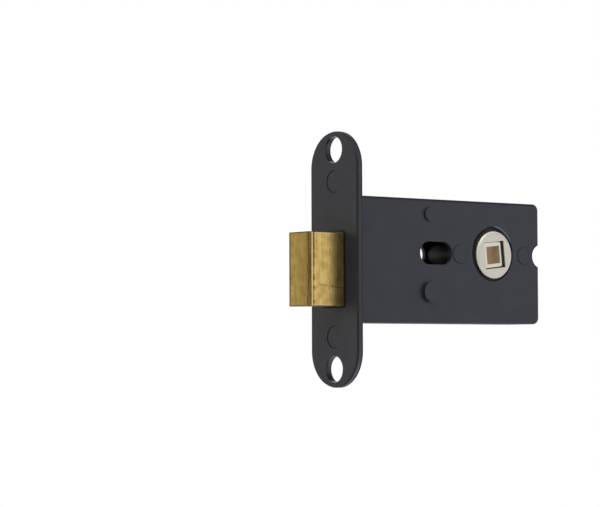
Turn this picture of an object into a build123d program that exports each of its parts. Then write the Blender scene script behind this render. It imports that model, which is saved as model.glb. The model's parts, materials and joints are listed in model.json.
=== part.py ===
from build123d import *
import os
from math import cos, radians, sin

# Box deadbolt. X runs into the door from the forend's front face, Y across the case, Z up.
# The bolt is modelled thrown. Sizes are in millimetres.

# Forend: the plate screwed to the edge of the door
forend_height = 74.2
forend_width = 21.2
forend_thickness = 2.0
forend_edge = 0.25
forend_edge_depth = 0.6
forend_screw_spacing = 63.5
forend_screw_hole_radius = 3.85
forend_rivet_spacing = 45.0

# Case: a folded sheet tray with a flat cap on its far side
case_depth = 76.0
case_height = 36.8
case_thickness = 12.5
sheet = 1.2
case_corner_radius = 2.0
tray_bend_radius = 0.9
cap_edge = 0.3
ear_radius = 5.0
ear_bend_radius = 0.8

# Follower: backset is measured from the forend's front face to the spindle
backset = 57.0
follower_height = 2.4
follower_hole_radius = 8.25
follower_hole_depth = 56.65
follower_hole_height = 2.7
hub_radius = 7.1
hub_stand_out = 0.6
hub_edge = 0.4
hub_square = 8.0
spindle_square = 5.0
spindle_play = 0.2
bush_width = 7.65
bush_height = 7.8
bush_set_back = 0.7

# Bolt and its drive: the follower's arm swings evenly to both sides of straight down
throw = 13.0
half_turn = 39.0
bolt_height = 21.3
bolt_thickness = 9.8
bolt_centre_height = -3.1
bolt_edge_break = 0.25
bolt_nose_chamfer = 0.95
bolt_nose_drop = 0.47
bolt_nose_edge = 0.3
bolt_land_length = 0.55
bolt_land_drop = 0.08
bolt_land_step = 0.05
bolt_clearance = 0.25
bolt_rear = 13.0
arm_tip_radius = 2.0
arm_neck_width = 2.7
arm_half_thickness = 3.9

# Tail: the flat bar that carries the throw from the arm to the bolt
tail_thickness = 3.0
tail_bottom = -13.2
tail_top = -5.0
tail_front = 3.2
tail_rear = 57.5
tail_corner_radius = 1.5
notch_clearance = 0.3
notch_floor = -10.2
notch_lip_radius = 0.8
guide_clearance = 0.3
tail_rivet_radius = 1.5
tail_rivet_depth = 8.1
tail_rivet_pitch = 4.6

# Fixing slot and rear notch for the bolts that join the roses through the lock
fixing_radius = 3.4
fixing_notch_radius = 3.5
fixing_slot_length = 12.6
cap_slot_length = 11.0
fixing_slot_depth = 33.95
fixing_notch_depth = 76.6

# Stays and posts that hold the tray and the cap apart
middle_stay_depth = 43.5
rear_stay_depth = 69.5
stay_stand_out = 0.15
middle_stay_end_radius = 2.85
middle_stay_body_radius = 3.3
rear_stay_end_radius = 2.6
rear_stay_body_radius = 3.0
post_depth = 31.3
post_pitch = 23.0
upper_post_radius = 2.0
upper_post_stand_out = 0.65
lower_post_radius = 2.3
lower_post_head_radius = 2.95
lower_post_head = 1.2

# Fasteners
rivet_head_radius = 3.25
rivet_set_back = 0.15
rivet_shank_radius = 2.0
rivet_tail_thickness = 1.0
screw_radius = 1.2
screw_head_radius = 2.3
screw_length = 7.0
screw_slot_width = 0.6
screw_slot_depth = 0.55
fit_gap = 0.02

# Bearings of the follower: rings that lie low and to the rear in the larger holes of the case
bearing_bore_radius = hub_radius + 0.05
bearing_neck_radius = 7.7
bearing_flange_radius = 9.2
bearing_flange_thickness = 1.0
bearing_recess = 0.7

# Detent spring: a leaf hooked round the upper post, with a nib in the hub's notch
spring_thickness = 0.5
spring_width = 4.0
spring_seat_gap = 0.05
nib_radius = 0.9
detent_depth = 0.7
detent_radius = 2.0

# Places worked out from the sizes above
outer_half = case_thickness / 2
inner_half = outer_half - sheet
inner_thickness = 2 * inner_half
tray_depth = case_thickness - sheet
case_length = case_depth - forend_thickness
hub_half_length = outer_half + hub_stand_out
arm_radius = throw / 2 / sin(radians(half_turn))
arm_angle = 270.0 - half_turn
square_angle = arm_angle - 225.0
arm_tip_depth = backset + arm_radius * cos(radians(arm_angle))
detent_centre_radius = hub_radius + detent_radius - detent_depth
upper_post_height = follower_height + post_pitch / 2
lower_post_height = follower_height - post_pitch / 2

near_outside = Plane.XZ.offset(outer_half)
stay_end = Plane.XZ.offset(outer_half + stay_stand_out)
upper_post_end = Plane.XZ.offset(outer_half + upper_post_stand_out)
near_inside = Plane.XZ.offset(inner_half)
far_inside = Plane.XZ.offset(-inner_half)
far_outside = Plane.XZ.offset(-outer_half)
forend_back = Plane.YZ.offset(forend_thickness)
ear_back = Plane.YZ.offset(forend_thickness + sheet)

follower_place = (backset, follower_height)
follower_hole_place = (follower_hole_depth, follower_hole_height)
middle_stay_place = (middle_stay_depth, follower_height)
rear_stay_place = (rear_stay_depth, follower_height)
upper_post_place = (post_depth, upper_post_height)
lower_post_place = (post_depth, lower_post_height)
tail_rivet_place = (tail_rivet_depth, (tail_bottom + tail_top) / 2)
fixing_slot_place = (fixing_slot_depth, follower_height)
fixing_notch_place = (fixing_notch_depth, follower_height)

os.makedirs("parts", exist_ok=True)


# Forend with full-round ends, screw holes, rivet holes and the window for the bolt
with BuildPart() as forend:
    with BuildSketch(Plane.YZ):
        SlotOverall(forend_height, forend_width, rotation=90)
        with GridLocations(0, forend_screw_spacing, 1, 2):
            Circle(forend_screw_hole_radius, mode=Mode.SUBTRACT)
        with GridLocations(0, forend_rivet_spacing, 1, 2):
            Circle(rivet_head_radius, mode=Mode.SUBTRACT)
        with Locations((0, bolt_centre_height)):
            RectangleRounded(
                bolt_thickness + 2 * bolt_clearance,
                bolt_height + 2 * bolt_clearance,
                2 * bolt_clearance,
                mode=Mode.SUBTRACT,
            )
    extrude(amount=forend_thickness)
    forend_front = forend.faces().sort_by(Axis.X)[0]
    chamfer(forend_front.outer_wire().edges(), forend_edge, forend_edge_depth, reference=forend_front)
forend.part.label = "forend"
export_step(forend.part, "parts/forend.step")


# Tray: near side, top, rear and bottom folded from one sheet, with an ear behind each end of the forend
with BuildPart() as case_tray:
    with BuildSketch(near_outside) as tray_outline:
        with Locations((forend_thickness, 0)):
            Rectangle(case_length, case_height, align=(Align.MIN, Align.CENTER))
        fillet(tray_outline.vertices().group_by(Axis.X)[-1], case_corner_radius)
    extrude(amount=-tray_depth)
    near_edges = case_tray.faces().sort_by(Axis.Y)[0].edges()
    fillet(near_edges.sort_by(Axis.X)[1:], tray_bend_radius)
    with BuildSketch(near_inside) as tray_pocket:
        with Locations((forend_thickness, 0)):
            Rectangle(case_length - sheet, case_height - 2 * sheet, align=(Align.MIN, Align.CENTER))
        fillet(tray_pocket.vertices().group_by(Axis.X)[-1], case_corner_radius - sheet)
    extrude(amount=-(tray_depth - sheet), mode=Mode.SUBTRACT)
    with BuildSketch(forend_back):
        SlotCenterToCenter(forend_rivet_spacing, 2 * ear_radius, rotation=90)
        Rectangle(2 * ear_radius, case_height - 2 * sheet, mode=Mode.SUBTRACT)
        with GridLocations(0, forend_rivet_spacing, 1, 2):
            Circle(rivet_shank_radius, mode=Mode.SUBTRACT)
    extrude(amount=sheet)
    ear_folds = case_tray.edges().filter_by(Axis.Y)
    ear_folds = ear_folds.filter_by(lambda fold: abs(abs(fold.center().Z) - case_height / 2) < fit_gap)
    ear_folds = ear_folds.filter_by(lambda fold: abs(fold.center().X - ear_back.origin.X) < fit_gap)
    fillet(ear_folds, ear_bend_radius)
    with BuildSketch(near_outside):
        with Locations(follower_hole_place):
            Circle(follower_hole_radius)
        with Locations(fixing_slot_place):
            SlotOverall(fixing_slot_length, 2 * fixing_radius)
        with Locations(middle_stay_place):
            Circle(middle_stay_end_radius)
        with Locations(rear_stay_place):
            Circle(rear_stay_end_radius)
        with Locations(upper_post_place):
            Circle(upper_post_radius + fit_gap)
        with Locations(lower_post_place):
            Circle(lower_post_radius + fit_gap)
    extrude(amount=-sheet, mode=Mode.SUBTRACT)
    with BuildSketch(near_outside):
        with Locations(fixing_notch_place):
            Circle(fixing_notch_radius)
    extrude(amount=-tray_depth, mode=Mode.SUBTRACT)
case_tray.part.label = "case_tray"
export_step(case_tray.part, "parts/case_tray.step")


# Cap: flat plate over the open side of the tray
with BuildPart() as case_cap:
    with BuildSketch(far_inside) as cap_outline:
        with Locations((forend_thickness, 0)):
            Rectangle(case_length, case_height, align=(Align.MIN, Align.CENTER))
        fillet(cap_outline.vertices().group_by(Axis.X)[-1], case_corner_radius)
    extrude(amount=-sheet)
    far_edges = case_cap.faces().sort_by(Axis.Y)[-1].edges()
    chamfer(far_edges.sort_by(Axis.X)[1:], cap_edge)
    with BuildSketch(far_inside):
        with Locations(follower_hole_place):
            Circle(follower_hole_radius)
        with Locations(fixing_slot_place):
            SlotOverall(cap_slot_length, 2 * fixing_radius)
        with Locations(fixing_notch_place):
            Circle(fixing_notch_radius)
        with Locations(upper_post_place, lower_post_place):
            Circle(screw_radius + fit_gap)
    extrude(amount=-sheet, mode=Mode.SUBTRACT)
    screw_rims = case_cap.faces().sort_by(Axis.Y)[-1].edges().filter_by(GeomType.CIRCLE)
    screw_rims = screw_rims.filter_by(lambda rim: abs(rim.radius - screw_radius) < 2 * fit_gap)
    chamfer(screw_rims, screw_head_radius - screw_radius)
case_cap.part.label = "case_cap"
export_step(case_cap.part, "parts/case_cap.step")


# Rivets that hold the tray's ears to the forend, set just below its front face
with BuildPart() as forend_rivets:
    with BuildSketch(Plane.YZ.offset(rivet_set_back)):
        with GridLocations(0, forend_rivet_spacing, 1, 2):
            Circle(rivet_head_radius - fit_gap)
    extrude(amount=forend_thickness - rivet_set_back)
    with BuildSketch(forend_back):
        with GridLocations(0, forend_rivet_spacing, 1, 2):
            Circle(rivet_shank_radius - fit_gap)
    extrude(amount=sheet)
    with BuildSketch(ear_back):
        with GridLocations(0, forend_rivet_spacing, 1, 2):
            Circle(rivet_head_radius)
    extrude(amount=rivet_tail_thickness)
forend_rivets.part.label = "forend_rivets"
export_step(forend_rivets.part, "parts/forend_rivets.step")


# Middle stay: shouldered pin riveted in the near side, a little proud of it, with the cap resting on it
with BuildPart() as middle_stay:
    with BuildSketch(stay_end):
        with Locations(middle_stay_place):
            Circle(middle_stay_end_radius - fit_gap)
    extrude(amount=-(tray_depth + stay_stand_out))
    with BuildSketch(near_inside):
        with Locations(middle_stay_place):
            Circle(middle_stay_body_radius)
    extrude(amount=-inner_thickness)
middle_stay.part.label = "middle_stay"
export_step(middle_stay.part, "parts/middle_stay.step")


# Rear stay: as the middle one, a little slimmer to clear the rear notch
with BuildPart() as rear_stay:
    with BuildSketch(stay_end):
        with Locations(rear_stay_place):
            Circle(rear_stay_end_radius - fit_gap)
    extrude(amount=-(tray_depth + stay_stand_out))
    with BuildSketch(near_inside):
        with Locations(rear_stay_place):
            Circle(rear_stay_body_radius)
    extrude(amount=-inner_thickness)
rear_stay.part.label = "rear_stay"
export_step(rear_stay.part, "parts/rear_stay.step")


# Upper post: carries the detent spring, a plain pin that stands a little out of the tray
with BuildPart() as upper_post:
    with BuildSketch(upper_post_end):
        with Locations(upper_post_place):
            Circle(upper_post_radius)
    extrude(amount=-(tray_depth + upper_post_stand_out))
    with BuildSketch(far_inside):
        with Locations(upper_post_place):
            Circle(screw_radius + fit_gap)
    extrude(amount=screw_length, mode=Mode.SUBTRACT)
upper_post.part.label = "upper_post"
export_step(upper_post.part, "parts/upper_post.step")


# Lower post: guides the slot in the bolt's tail, a headed pin put in from outside the tray
with BuildPart() as lower_post:
    with BuildSketch(near_outside):
        with Locations(lower_post_place):
            Circle(lower_post_radius)
    extrude(amount=-tray_depth)
    with BuildSketch(near_outside):
        with Locations(lower_post_place):
            Circle(lower_post_head_radius)
    extrude(amount=lower_post_head)
    with BuildSketch(far_inside):
        with Locations(lower_post_place):
            Circle(screw_radius + fit_gap)
    extrude(amount=screw_length, mode=Mode.SUBTRACT)
lower_post.part.label = "lower_post"
export_step(lower_post.part, "parts/lower_post.step")


# Countersunk screws that hold the cap to the posts
with BuildPart() as cap_screws:
    with BuildSketch(far_outside):
        with Locations(upper_post_place, lower_post_place):
            Circle(screw_radius)
    extrude(amount=screw_length)
    with BuildSketch(far_outside):
        with Locations(upper_post_place, lower_post_place):
            Circle(screw_head_radius)
    extrude(amount=screw_head_radius - screw_radius, taper=45)
    with BuildSketch(far_outside):
        with Locations(upper_post_place, lower_post_place):
            Rectangle(2 * screw_head_radius, screw_slot_width, rotation=half_turn)
    extrude(amount=screw_slot_depth, mode=Mode.SUBTRACT)
cap_screws.part.label = "cap_screws"
export_step(cap_screws.part, "parts/cap_screws.step")


# Bolt head: brass bar with a chamfered nose and a narrow land behind it, slotted at the rear for the tail
with BuildPart() as bolt_head:
    with BuildSketch(Plane.XY.offset(bolt_centre_height - bolt_height / 2)):
        with BuildLine():
            land_side = bolt_thickness / 2 - bolt_land_step
            chamfer_side = land_side - bolt_land_drop
            nose_side = chamfer_side - bolt_nose_drop
            chamfer_rear = bolt_nose_chamfer - throw
            land_rear = chamfer_rear + bolt_land_length
            Polyline(
                (-throw, 0),
                (-throw, nose_side),
                (chamfer_rear, chamfer_side),
                (land_rear, land_side),
                (land_rear, bolt_thickness / 2),
                (bolt_rear, bolt_thickness / 2),
                (bolt_rear, 0),
            )
            mirror(about=Plane.XZ)
        make_face()
    extrude(amount=bolt_height)
    chamfer(bolt_head.edges().filter_by(Axis.X), bolt_edge_break)
    chamfer(bolt_head.edges().filter_by(Axis.Y).group_by(Axis.X)[0], bolt_nose_edge)
    with BuildSketch(Plane.XZ):
        with Locations((bolt_rear, tail_top + fit_gap)):
            Rectangle(bolt_rear - tail_front, bolt_height, align=(Align.MAX, Align.MAX))
    extrude(amount=tail_thickness / 2 + fit_gap, both=True, mode=Mode.SUBTRACT)
    with BuildSketch(Plane.XZ):
        with Locations(tail_rivet_place):
            with GridLocations(tail_rivet_pitch, 0, 2, 1):
                Circle(tail_rivet_radius)
    extrude(amount=bolt_thickness, both=True, mode=Mode.SUBTRACT)
bolt_head.part.label = "bolt_head"
export_step(bolt_head.part, "parts/bolt_head.step")


# Bolt tail: flat steel bar with a guide slot and the notch that the follower's arm works in
with BuildPart() as bolt_tail:
    with BuildSketch(Plane.XZ) as tail_outline:
        with Locations((tail_front, tail_bottom)):
            Rectangle(tail_rear - tail_front, tail_top - tail_bottom, align=(Align.MIN, Align.MIN))
        fillet(tail_outline.vertices().group_by(Axis.X)[-1], tail_corner_radius)
        with BuildSketch(mode=Mode.PRIVATE) as drive_notch:
            with Locations((arm_tip_depth, notch_floor)):
                Rectangle(
                    2 * (arm_tip_radius + notch_clearance),
                    tail_top - notch_floor,
                    align=(Align.CENTER, Align.MIN),
                )
            fillet(drive_notch.vertices().group_by(Axis.Y)[0], arm_tip_radius)
        add(drive_notch.sketch, mode=Mode.SUBTRACT)
        notch_lips = tail_outline.vertices().group_by(Axis.Y)[-1]
        notch_lips = notch_lips.filter_by(lambda lip: abs(lip.X - arm_tip_depth) < 2 * arm_tip_radius)
        fillet(notch_lips, notch_lip_radius)
        with Locations((post_depth - throw / 2, lower_post_height)):
            SlotCenterToCenter(
                throw + 2 * guide_clearance,
                2 * (lower_post_radius + guide_clearance),
                mode=Mode.SUBTRACT,
            )
        with Locations(tail_rivet_place):
            with GridLocations(tail_rivet_pitch, 0, 2, 1):
                Circle(tail_rivet_radius, mode=Mode.SUBTRACT)
    extrude(amount=tail_thickness / 2, both=True)
bolt_tail.part.label = "bolt_tail"
export_step(bolt_tail.part, "parts/bolt_tail.step")


# Rivets across the bolt head that hold the tail in its slot
with BuildPart() as tail_rivets:
    with BuildSketch(Plane.XZ):
        with Locations(tail_rivet_place):
            with GridLocations(tail_rivet_pitch, 0, 2, 1):
                Circle(tail_rivet_radius - fit_gap)
    extrude(amount=bolt_thickness / 2, both=True)
tail_rivets.part.label = "tail_rivets"
export_step(tail_rivets.part, "parts/tail_rivets.step")


# Follower hub: square-bored drum with the arm that throws the bolt and two detent notches
with BuildPart() as follower_hub:
    with BuildSketch(Plane.XZ):
        with Locations(follower_place):
            Circle(hub_radius)
    extrude(amount=hub_half_length, both=True)
    chamfer(follower_hub.edges().filter_by(GeomType.CIRCLE), hub_edge)
    with BuildSketch(Plane.XZ):
        with Locations(Location((*follower_place, 0), (0, 0, arm_angle))):
            Rectangle(arm_radius, arm_neck_width, align=(Align.MIN, Align.CENTER))
            with Locations((arm_radius, 0)):
                Circle(arm_tip_radius)
    extrude(amount=arm_half_thickness, both=True)
    with BuildSketch(Plane.XZ):
        with Locations(follower_place):
            with PolarLocations(detent_centre_radius, 2, 90 - 2 * half_turn, 2 * half_turn, endpoint=True):
                Circle(detent_radius)
    extrude(amount=spring_width / 2 + guide_clearance, both=True, mode=Mode.SUBTRACT)
    with BuildSketch(Plane.XZ):
        with Locations(follower_place):
            Rectangle(hub_square, hub_square, rotation=square_angle)
    extrude(amount=hub_half_length, both=True, mode=Mode.SUBTRACT)
follower_hub.part.label = "follower_hub"
export_step(follower_hub.part, "parts/follower_hub.step")


# Spindle bush: square sleeve sunk in the hub's square, resting against its front and top walls
with BuildPart() as spindle_bush:
    with BuildSketch(Plane.XZ):
        with Locations(Location((*follower_place, 0), (0, 0, square_angle))):
            with Locations(((bush_width - hub_square) / 2, (hub_square - bush_height) / 2)):
                Rectangle(bush_width, bush_height)
            spindle_hole = spindle_square + spindle_play
            Rectangle(spindle_hole, spindle_hole, mode=Mode.SUBTRACT)
    extrude(amount=hub_half_length - bush_set_back, both=True)
spindle_bush.part.label = "spindle_bush"
export_step(spindle_bush.part, "parts/spindle_bush.step")


# Near bearing: flanged ring in the tray's round hole
with BuildPart() as near_bearing:
    with BuildSketch(near_inside):
        with Locations(follower_place):
            Circle(bearing_flange_radius)
    extrude(amount=-bearing_flange_thickness)
    with BuildSketch(near_inside):
        with Locations(follower_place):
            Circle(bearing_neck_radius)
    extrude(amount=sheet - bearing_recess)
    with BuildSketch(near_outside):
        with Locations(follower_place):
            Circle(bearing_bore_radius)
    extrude(amount=-outer_half, mode=Mode.SUBTRACT)
near_bearing.part.label = "near_bearing"
export_step(near_bearing.part, "parts/near_bearing.step")


# Far bearing: the same ring turned round, in the cap's hole
with BuildPart() as far_bearing:
    mirror(near_bearing.part, about=Plane.XZ)
far_bearing.part.label = "far_bearing"
export_step(far_bearing.part, "parts/far_bearing.step")


# Detent spring: leaf bearing up on the tray's top, hooked round the post and pressing down on the hub
with BuildPart() as detent_spring:
    with BuildSketch(Plane.XZ):
        with BuildLine():
            hook_radius = upper_post_radius + spring_seat_gap + spring_thickness / 2
            hook_top = (post_depth, upper_post_height + hook_radius)
            hook_bottom = (post_depth, upper_post_height - hook_radius)
            nib_height = follower_height + hub_radius - detent_depth + spring_thickness / 2
            leaf_height = follower_height + hub_radius + 2 * spring_thickness
            wall_height = case_height / 2 - sheet - spring_seat_gap - spring_thickness / 2
            Line((post_depth + hub_radius, wall_height), hook_top)
            CenterArc(upper_post_place, hook_radius, 90, 180)
            FilletPolyline(
                hook_bottom,
                (backset - 3 * nib_radius, leaf_height),
                (backset, nib_height),
                (backset + 3 * nib_radius, leaf_height),
                radius=nib_radius,
            )
        trace(line_width=spring_thickness)
    extrude(amount=spring_width / 2, both=True)
detent_spring.part.label = "detent_spring"
export_step(detent_spring.part, "parts/detent_spring.step")
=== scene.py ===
import bmesh
import bpy
import json
from math import atan2, pi, radians
from mathutils import Matrix, Vector


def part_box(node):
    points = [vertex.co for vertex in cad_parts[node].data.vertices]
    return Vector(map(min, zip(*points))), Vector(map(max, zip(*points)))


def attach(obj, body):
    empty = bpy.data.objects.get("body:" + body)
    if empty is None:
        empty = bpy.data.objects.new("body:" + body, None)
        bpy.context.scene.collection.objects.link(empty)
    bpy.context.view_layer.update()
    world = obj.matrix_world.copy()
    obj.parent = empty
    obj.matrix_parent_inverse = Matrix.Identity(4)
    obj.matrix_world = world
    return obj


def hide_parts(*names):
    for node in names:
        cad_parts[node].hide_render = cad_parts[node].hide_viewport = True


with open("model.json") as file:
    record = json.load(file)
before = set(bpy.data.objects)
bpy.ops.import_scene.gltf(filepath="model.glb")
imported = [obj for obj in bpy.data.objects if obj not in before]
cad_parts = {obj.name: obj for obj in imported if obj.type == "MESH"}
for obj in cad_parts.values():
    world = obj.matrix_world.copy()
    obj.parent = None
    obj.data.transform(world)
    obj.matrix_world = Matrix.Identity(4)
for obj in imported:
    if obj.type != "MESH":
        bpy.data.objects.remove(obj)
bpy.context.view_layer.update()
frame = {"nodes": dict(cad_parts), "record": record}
nodes = frame["nodes"]
scene = bpy.context.scene
scene.view_settings.view_transform = "Standard"
mm = 0.001
lockMiddle = (0.03, 0.0, 0.0)  # what the lamps aim at and the floor lies round, in metres
print("frame loaded with", len(nodes), "nodes")


def linear(hexColour):
    parts = [int(hexColour[i:i + 2], 16) / 255 for i in (0, 2, 4)]
    parts = [p / 12.92 if p <= 0.04045 else ((p + 0.055) / 1.055) ** 2.4 for p in parts]
    return (*parts, 1.0)


# one node with its settings, its fixed inputs and its links
def addNode(tree, kind, inputs=None, **settings):
    node = tree.nodes.new(kind)
    for key, value in settings.items():
        setattr(node, key, value)
    for socket, value in (inputs or {}).items():
        if isinstance(value, bpy.types.NodeSocket):
            tree.links.new(value, node.inputs[socket])
        else:
            node.inputs[socket].default_value = value
    return node


def newMaterial(name):
    material = bpy.data.materials.new(name)
    material.use_nodes = True
    tree = material.node_tree
    place = addNode(tree, "ShaderNodeTexCoord").outputs["Object"]
    return material, tree, tree.nodes["Principled BSDF"], place


# planes that a distance is measured in: the side of the case and the front of the forend
sideOn = (1.0, 0.0, 1.0)
frontOn = (0.0, 1.0, 1.0)
noiseLow = 0.3  # nearly all of a noise lies between these two
noiseHigh = 0.7


# distance of a surface from the axis that stands square to a plane at a centre given in mm
def fromAxis(tree, place, centre, plane):
    shift = [-value * mm for value in centre]
    centred = addNode(tree, "ShaderNodeMapping", {0: place, 1: shift, 3: plane}).outputs[0]
    return addNode(tree, "ShaderNodeVectorMath", {0: centred}, operation="LENGTH").outputs["Value"]


# camera fitted to the edges of the lock, in metres and degrees
cameraFit = {
    "place": (-0.42692, -0.52628, -0.02839),
    "yaw": -38.222,
    "pitch": 2.542,
    "roll": -0.188,
    "lens": 140.82,
    "sensor": 36.0,
    "nearest": 0.01,
}
cameraData = bpy.data.cameras.new("camera")
cameraData.lens = cameraFit["lens"]
cameraData.sensor_width = cameraFit["sensor"]
cameraData.clip_start = cameraFit["nearest"]
camera = bpy.data.objects.new("camera", cameraData)
scene.collection.objects.link(camera)
turn = Matrix.Rotation(radians(cameraFit["yaw"]), 4, "Z")
turn = turn @ Matrix.Rotation(radians(90 + cameraFit["pitch"]), 4, "X")
turn = turn @ Matrix.Rotation(radians(cameraFit["roll"]), 4, "Z")
camera.matrix_world = Matrix.Translation(cameraFit["place"]) @ turn
scene.camera = camera
print("camera set")


# light tent: white, with greyer cloth at the right above, behind the lock and round the lens
tent = {
    "white": 1.0,  # what the eye and the gloss see
    "soft": 0.7,  # share of it that is shed as soft light
    "cloth": "ffffff",
    "shedColour": "f4f7ff",
    "greys": {
        "highRight": {"facing": (0.60, -0.15, 0.78), "grey": 0.90, "from": 0.72, "to": 0.92},
        "leftBehind": {"facing": (-0.62, 0.78, 0.05), "grey": 0.32, "from": 0.45, "to": 1.00},
        "lensOpening": {"facing": (-0.46, -0.89, -0.03), "grey": 0.90, "from": 0.78, "to": 0.92},
        "backdropTop": {"facing": (-0.10, 0.72, 0.69), "grey": 0.75, "from": 0.80, "to": 0.95},
        "backdropFoot": {"facing": (-0.08, 0.78, -0.62), "grey": 0.65, "from": 0.84, "to": 0.96},
    },
}
world = bpy.data.worlds.new("lightTent")
scene.world = world
world.use_nodes = True
tree = world.node_tree
tree.nodes.clear()
direction = addNode(tree, "ShaderNodeTexCoord").outputs["Generated"]
path = addNode(tree, "ShaderNodeLightPath").outputs
level = tent["white"]
for patch in tent["greys"].values():
    towards = addNode(
        tree, "ShaderNodeVectorMath", {0: direction, 1: patch["facing"]}, operation="DOT_PRODUCT"
    ).outputs["Value"]
    grey = addNode(
        tree,
        "ShaderNodeMapRange",
        {0: towards, 1: patch["from"], 2: patch["to"], 3: 1.0, 4: 1.0 - patch["grey"]},
        interpolation_type="SMOOTHSTEP",
    ).outputs[0]
    level = addNode(tree, "ShaderNodeMath", {0: grey, 1: level}, operation="MULTIPLY").outputs[0]
shedLevel = addNode(tree, "ShaderNodeMath", {0: level, 1: tent["soft"]}, operation="MULTIPLY").outputs[0]
eye = addNode(tree, "ShaderNodeBackground", {"Color": linear(tent["cloth"]), "Strength": tent["white"]})
gloss = addNode(tree, "ShaderNodeBackground", {"Color": linear(tent["cloth"]), "Strength": level})
shed = addNode(tree, "ShaderNodeBackground", {"Color": linear(tent["shedColour"]), "Strength": shedLevel})
mirrored = addNode(
    tree,
    "ShaderNodeMath",
    {0: path["Is Glossy Ray"], 1: path["Is Transmission Ray"]},
    operation="MAXIMUM",
).outputs[0]
lit = addNode(tree, "ShaderNodeMixShader", {0: mirrored, 1: shed.outputs[0], 2: gloss.outputs[0]})
seen = addNode(
    tree, "ShaderNodeMixShader", {0: path["Is Camera Ray"], 1: lit.outputs[0], 2: eye.outputs[0]}
)
addNode(tree, "ShaderNodeOutputWorld", {"Surface": seen.outputs[0]})


# soft boxes: a cool one at the right, a warm one at the left, small ones above and below the lens
softBoxes = {
    "rightBox": {"place": (0.55, -0.75, 0.25), "size": 0.9, "power": 4.0, "colour": "e9efff"},
    "leftBox": {"place": (-0.70, 0.45, 0.07), "size": 0.22, "power": 2.8, "colour": "ffe9cf"},
    "highBox": {"place": (-0.16, -0.37, 0.80), "size": 0.5, "power": 2.0, "colour": "ffffff"},
    "lowBox": {"place": (-0.20, -0.38, -0.68), "size": 0.5, "power": 1.2, "colour": "ffffff"},
}
mirroredBoxes = ("highBox", "lowBox")  # of the others, the gloss shows the tent's white
for name, box in softBoxes.items():
    lamp = bpy.data.lights.new(name, "AREA")
    lamp.shape = "SQUARE"
    lamp.size = box["size"]
    lamp.energy = box["power"]
    lamp.color = linear(box["colour"])[:3]
    lampObject = bpy.data.objects.new(name, lamp)
    scene.collection.objects.link(lampObject)
    lampObject.location = box["place"]
    aim = Vector(lockMiddle) - Vector(box["place"])
    lampObject.rotation_euler = aim.to_track_quat("-Z", "Y").to_euler()
    lampObject.visible_glossy = name in mirroredBoxes


# floor: a pale round sheet below the lock that fades into the white
floorSheet = {
    "depth": -0.10,
    "radius": 0.36,
    "fadeFrom": 0.12,
    "fadeTo": 0.3492,
    "colour": "f1f1f0",
    "rough": 0.9,
    "segments": 96,
}
floorMiddle = Vector((lockMiddle[0], lockMiddle[1], floorSheet["depth"]))
outline = bmesh.new()
bmesh.ops.create_circle(outline, cap_ends=True, segments=floorSheet["segments"], radius=floorSheet["radius"])
bmesh.ops.translate(outline, verts=outline.verts, vec=floorMiddle)
floorMesh = bpy.data.meshes.new("floor")
outline.to_mesh(floorMesh)
outline.free()
floor = bpy.data.objects.new("floor", floorMesh)
scene.collection.objects.link(floor)
floorPaper, tree, shader, place = newMaterial("paleMattPaper")
shader.inputs["Base Color"].default_value = linear(floorSheet["colour"])
shader.inputs["Roughness"].default_value = floorSheet["rough"]
centred = addNode(tree, "ShaderNodeMapping", {0: place, 1: -floorMiddle}).outputs[0]
reach = addNode(tree, "ShaderNodeVectorMath", {0: centred}, operation="LENGTH").outputs["Value"]
fade = addNode(
    tree,
    "ShaderNodeMapRange",
    {0: reach, 1: floorSheet["fadeFrom"], 2: floorSheet["fadeTo"]},
    interpolation_type="SMOOTHSTEP",
).outputs[0]
under = addNode(tree, "ShaderNodeNewGeometry").outputs["Backfacing"]  # clear from below
fade = addNode(tree, "ShaderNodeMath", {0: fade, 1: under}, operation="MAXIMUM").outputs[0]
clear = addNode(tree, "ShaderNodeBsdfTransparent")
paper = addNode(tree, "ShaderNodeMixShader", {0: fade, 1: shader.outputs[0], 2: clear.outputs[0]})
tree.links.new(paper.outputs[0], tree.nodes["Material Output"].inputs["Surface"])
floorMesh.materials.append(floorPaper)
print("studio set")


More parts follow.
